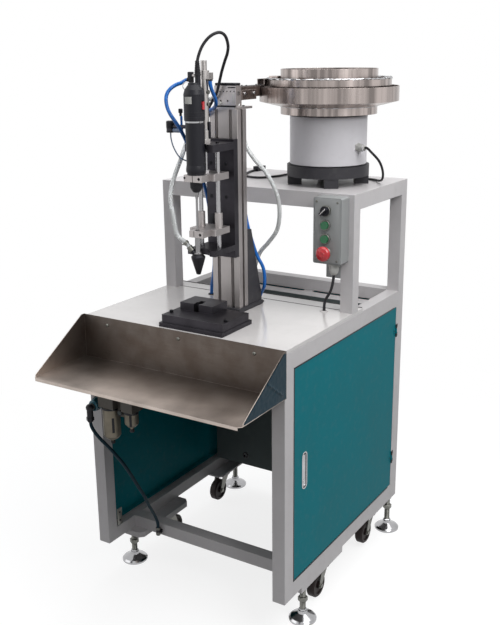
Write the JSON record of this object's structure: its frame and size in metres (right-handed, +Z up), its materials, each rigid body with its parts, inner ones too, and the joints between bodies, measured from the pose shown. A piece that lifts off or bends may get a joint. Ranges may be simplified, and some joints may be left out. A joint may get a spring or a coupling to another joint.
{
  "type": "automatic screwdriving machine",
  "caption": "Bench machine on a cabinet frame: a vibrating bowl feeds screws through an escapement to a driver on a sliding column head above a nest fixture.",
  "frame": {"origin": "centre of the footprint on the floor", "axes": "+Z up, the operator stands on the -Y side, +X to the operator's right"},
  "size_m": [0.7009, 0.985, 1.6113],
  "materials": {
    "frame_paint": "satin",
    "table_paint": "gloss",
    "tray_steel": "brushed",
    "teal_paint": "satin",
    "dark_paint": "satin",
    "grey_plastic": "matte",
    "dark_metal": "satin",
    "chrome": "polished",
    "zinc": "zinc plated",
    "aluminium": "anodised",
    "black_paint": "satin",
    "charcoal": "black anodised",
    "hard_chrome": "ground",
    "cylinder_alu": "satin",
    "black_plastic": "satin",
    "red_plastic": "gloss",
    "tool_steel": "ground",
    "black_oxide": "black oxide",
    "feeder_steel": "brushed",
    "drum_paint": "satin",
    "box_paint": "satin",
    "green_plastic": "gloss",
    "air_body": "black anodised",
    "smoke_bowl": "smoked",
    "valve_teal": "gloss",
    "black_rubber": "matte",
    "clear_hose": "translucent",
    "blue_tube": "gloss",
    "signal_tube": "translucent",
    "grey_cable": "matte",
    "air_hose": "satin",
    "wheel_rubber": "satin"
  },
  "bodies": {
    "machine": {"base_frame": "frame_paint", "table_top": "table_paint", "tray": "tray_steel", "fixed_panels": "teal_paint", "partition": "dark_paint", "cabinet_electrics": "grey_plastic", "door_hinges": "dark_metal", "levelling_feet": "chrome", "caster_mounts": "zinc", "bridge_frame": "frame_paint", "column": "aluminium", "column_base": "black_paint", "slide_frame": "charcoal", "guide_rods": "hard_chrome", "lift_cylinder": "cylinder_alu", "escapement": "aluminium", "feed_track": "feeder_steel", "feeder_base": "black_paint", "feeder_drum": "drum_paint", "control_box": "box_paint", "air_unit": "air_body", "air_bowls": "smoke_bowl", "fixture": "charcoal", "driver_cable": "black_rubber", "screw_hose": "clear_hose", "vent_hose": "clear_hose", "blue_loop_tube": "blue_tube", "blue_supply_tube": "blue_tube", "signal_tube": "signal_tube", "control_cable": "grey_cable", "feeder_cable": "black_rubber", "inlet_hose": "air_hose", "cord_plugs": "black_plastic"},
    "driver_carriage": {"piston_rod": "hard_chrome", "driver_clamp": "aluminium", "driver_body": "black_plastic"},
    "nozzle_carriage": {"nozzle_clamp": "aluminium", "screw_nozzle": "black_oxide"},
    "bit": {"driver_bit": "tool_steel"},
    "torque_collar": {"torque_ring": "black_plastic"},
    "switch": {"driver_switch": "red_plastic"},
    "side_door": {"door": "teal_paint", "door_lock": "chrome"},
    "lock_lever": {"door_lever": "chrome"},
    "feed_bowl": {"bowl": "feeder_steel"},
    "shuttle": {"escapement_shuttle": "tool_steel"},
    "upper_start": {"start_button_upper": "green_plastic"},
    "lower_start": {"start_button_lower": "green_plastic"},
    "stop": {"stop_button": "red_plastic"},
    "selector": {"selector_knob": "black_plastic"},
    "regulator": {"regulator_knob": "black_plastic"},
    "valve_lever": {"air_valve_lever": "valve_teal"},
    "swivel_fl": {"caster_fork_fl": "zinc"},
    "wheel_fl": {"caster_wheel_fl": "wheel_rubber"},
    "swivel_fr": {"caster_fork_fr": "zinc"},
    "wheel_fr": {"caster_wheel_fr": "wheel_rubber"},
    "swivel_rl": {"caster_fork_rl": "zinc"},
    "wheel_rl": {"caster_wheel_rl": "wheel_rubber"},
    "swivel_rr": {"caster_fork_rr": "zinc"},
    "wheel_rr": {"caster_wheel_rr": "wheel_rubber"}
  },
  "joints": [
    {"name": "head_slide", "type": "slide", "parent": "machine", "child": "driver_carriage", "axis": [0, 0, -1], "range_m": [0, 0.1], "deforming": ["driver_cable"]},
    {"name": "nozzle_slide", "type": "slide", "parent": "machine", "child": "nozzle_carriage", "axis": [0, 0, -1], "range_m": [0, 0.026], "deforming": ["screw_hose"]},
    {"name": "bit_spin", "type": "hinge", "parent": "driver_carriage", "child": "bit", "pos_m": [0, -0.1775, 1.15], "axis": [0, 0, 1], "continuous": true},
    {"name": "torque_turn", "type": "hinge", "parent": "driver_carriage", "child": "torque_collar", "pos_m": [0, -0.1775, 1.22], "axis": [0, 0, 1], "range_deg": [0, 300]},
    {"name": "switch_slide", "type": "slide", "parent": "driver_carriage", "child": "switch", "axis": [0, 0, -1], "range_m": [-0.002, 0.002]},
    {"name": "door_hinge", "type": "hinge", "parent": "machine", "child": "side_door", "pos_m": [0.3275, 0.42225, 0.485], "axis": [0, 0, 1], "range_deg": [0, 110]},
    {"name": "lever_pivot", "type": "hinge", "parent": "side_door", "child": "lock_lever", "pos_m": [0.321, -0.1725, 0.525], "axis": [0, -1, 0], "range_deg": [0, 40], "stiffness_Nm_per_rad": 0.4},
    {"name": "swivel_turn_fl", "type": "hinge", "parent": "machine", "child": "swivel_fl", "pos_m": [-0.285, 0.0065, 0.1], "axis": [0, 0, 1], "continuous": true},
    {"name": "wheel_spin_fl", "type": "hinge", "parent": "swivel_fl", "child": "wheel_fl", "pos_m": [-0.285, 0.0365, 0.0405], "axis": [1, 0, 0], "continuous": true},
    {"name": "swivel_turn_fr", "type": "hinge", "parent": "machine", "child": "swivel_fr", "pos_m": [0.285, 0.0065, 0.1], "axis": [0, 0, 1], "continuous": true},
    {"name": "wheel_spin_fr", "type": "hinge", "parent": "swivel_fr", "child": "wheel_fr", "pos_m": [0.285, -0.0235, 0.0405], "axis": [1, 0, 0], "continuous": true},
    {"name": "swivel_turn_rl", "type": "hinge", "parent": "machine", "child": "swivel_rl", "pos_m": [-0.285, 0.3365, 0.1], "axis": [0, 0, 1], "continuous": true},
    {"name": "wheel_spin_rl", "type": "hinge", "parent": "swivel_rl", "child": "wheel_rl", "pos_m": [-0.285, 0.3065, 0.0525], "axis": [1, 0, 0], "continuous": true},
    {"name": "swivel_turn_rr", "type": "hinge", "parent": "machine", "child": "swivel_rr", "pos_m": [0.285, 0.3365, 0.1], "axis": [0, 0, 1], "continuous": true},
    {"name": "wheel_spin_rr", "type": "hinge", "parent": "swivel_rr", "child": "wheel_rr", "pos_m": [0.285, 0.3065, 0.0525], "axis": [1, 0, 0], "continuous": true},
    {"name": "bowl_vibration", "type": "hinge", "parent": "machine", "child": "feed_bowl", "pos_m": [0.155, 0.2735, 1.39], "axis": [0, 0, 1], "range_deg": [-0.4, 0.4], "stiffness_Nm_per_rad": 8000},
    {"name": "shuttle_slide", "type": "slide", "parent": "machine", "child": "shuttle", "axis": [1, 0, 0], "range_m": [0, 0.012]},
    {"name": "start_upper_press", "type": "slide", "parent": "machine", "child": "upper_start", "axis": [0, 1, 0], "range_m": [0, 0.004], "stiffness_N_per_m": 800},
    {"name": "start_lower_press", "type": "slide", "parent": "machine", "child": "lower_start", "axis": [0, 1, 0], "range_m": [0, 0.004], "stiffness_N_per_m": 800},
    {"name": "stop_press", "type": "slide", "parent": "machine", "child": "stop", "axis": [0, 1, 0], "range_m": [0, 0.004]},
    {"name": "selector_turn", "type": "hinge", "parent": "machine", "child": "selector", "pos_m": [0.2645, 0.0515, 1.145], "axis": [0, -1, 0], "range_deg": [0, 90]},
    {"name": "regulator_turn", "type": "hinge", "parent": "machine", "child": "regulator", "pos_m": [-0.223, -0.3085, 0.68], "axis": [0, 0, 1], "range_deg": [0, 300]},
    {"name": "valve_turn", "type": "hinge", "parent": "machine", "child": "valve_lever", "pos_m": [-0.273, -0.3165, 0.6], "axis": [0, -1, 0], "range_deg": [0, 90]}
  ],
  "couplings": [
    {"joint": "nozzle_slide", "follows": "head_slide", "ratio": 0.26}
  ]
}
